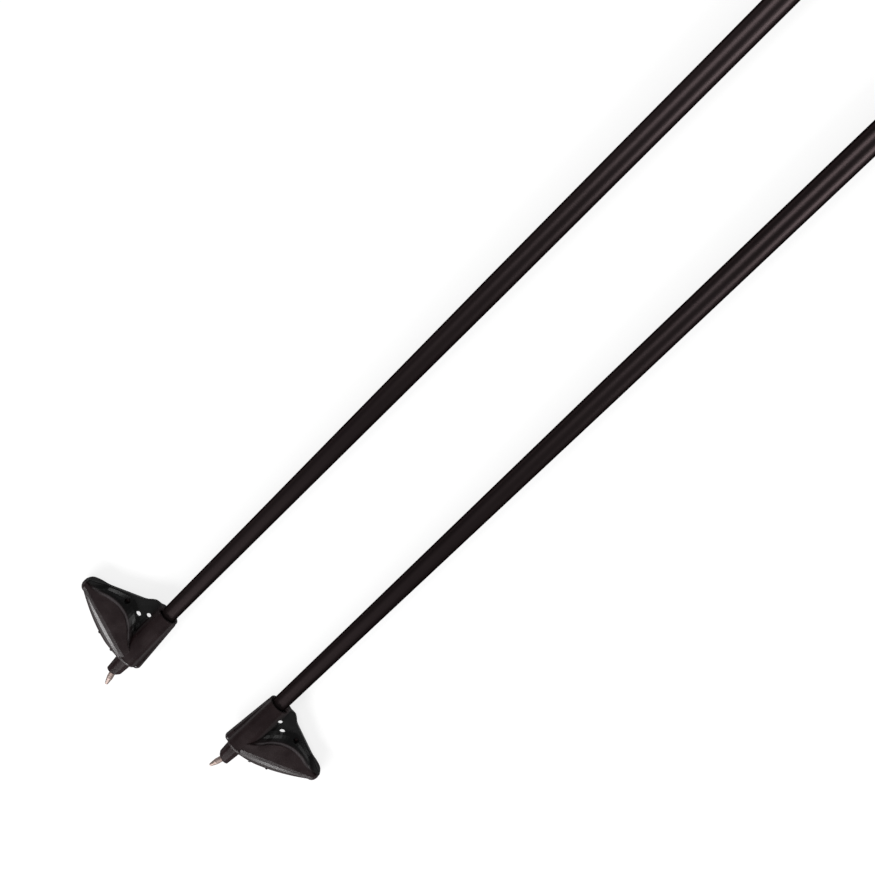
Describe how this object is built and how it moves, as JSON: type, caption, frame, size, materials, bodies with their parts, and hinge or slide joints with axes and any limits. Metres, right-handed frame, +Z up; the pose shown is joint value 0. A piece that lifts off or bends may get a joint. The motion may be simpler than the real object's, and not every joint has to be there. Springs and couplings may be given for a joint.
{
  "type": "trekking pole pair",
  "caption": "Slim one-piece walking poles laid side by side, with tapered shafts, narrow fin-shaped baskets, bent spikes, padded grips and wrist loops.",
  "frame": {"origin": "under the middle of the pair, on the surface that the poles lie on", "axes": "+X along the poles towards the grips, +Y towards the left pole and the way its basket fin points, +Z up"},
  "size_m": [1.205, 0.3982, 0.0264],
  "materials": {
    "shaft": "black satin lacquer on a tapered aluminium tube",
    "basket": "black moulded plastic with a fine grain",
    "ferrule": "black moulded plastic",
    "spike": "light warm grey ground steel",
    "grip": "black soft foam rubber",
    "cap": "black moulded plastic",
    "pin": "plain steel",
    "wedge": "dark grey moulded plastic",
    "webbing": "black woven webbing",
    "lining": "dark grey brushed fleece on foam",
    "buckle": "black moulded plastic"
  },
  "bodies": {
    "left_pole": {"left_shaft": "shaft", "left_basket": "basket", "left_tip_ferrule": "ferrule", "left_spike": "spike", "left_grip": "grip", "left_grip_cap": "cap", "left_strap_pin": "pin"},
    "left_wedge": {"left_strap_wedge": "wedge"},
    "left_wrist_strap": {"left_strap": "webbing", "left_strap_lining": "lining", "left_strap_buckle": "buckle"},
    "right_pole": {"right_shaft": "shaft", "right_basket": "basket", "right_tip_ferrule": "ferrule", "right_spike": "spike", "right_grip": "grip", "right_grip_cap": "cap", "right_strap_pin": "pin"},
    "right_wedge": {"right_strap_wedge": "wedge"},
    "right_wrist_strap": {"right_strap": "webbing", "right_strap_lining": "lining", "right_strap_buckle": "buckle"}
  },
  "joints": [
    {"name": "right_pole_lift", "type": "slide", "parent": "left_pole", "child": "right_pole", "axis": [0, 0, 1], "range_m": [0, 0.25]},
    {"name": "left_wedge_slide", "type": "slide", "parent": "left_pole", "child": "left_wedge", "axis": [1, 0, 0.0042], "range_m": [0, 0.007]},
    {"name": "left_strap_swing", "type": "hinge", "parent": "left_pole", "child": "left_wrist_strap", "pos_m": [0.5735, 0.0475, 0.01342], "axis": [-0.0042, 0, 1], "range_deg": [-18, 18]},
    {"name": "right_wedge_slide", "type": "slide", "parent": "right_pole", "child": "right_wedge", "axis": [1, 0, 0.0042], "range_m": [0, 0.007]},
    {"name": "right_strap_swing", "type": "hinge", "parent": "right_pole", "child": "right_wrist_strap", "pos_m": [0.5785, -0.0475, 0.01342], "axis": [-0.0042, 0, 1], "range_deg": [-18, 18]}
  ]
}
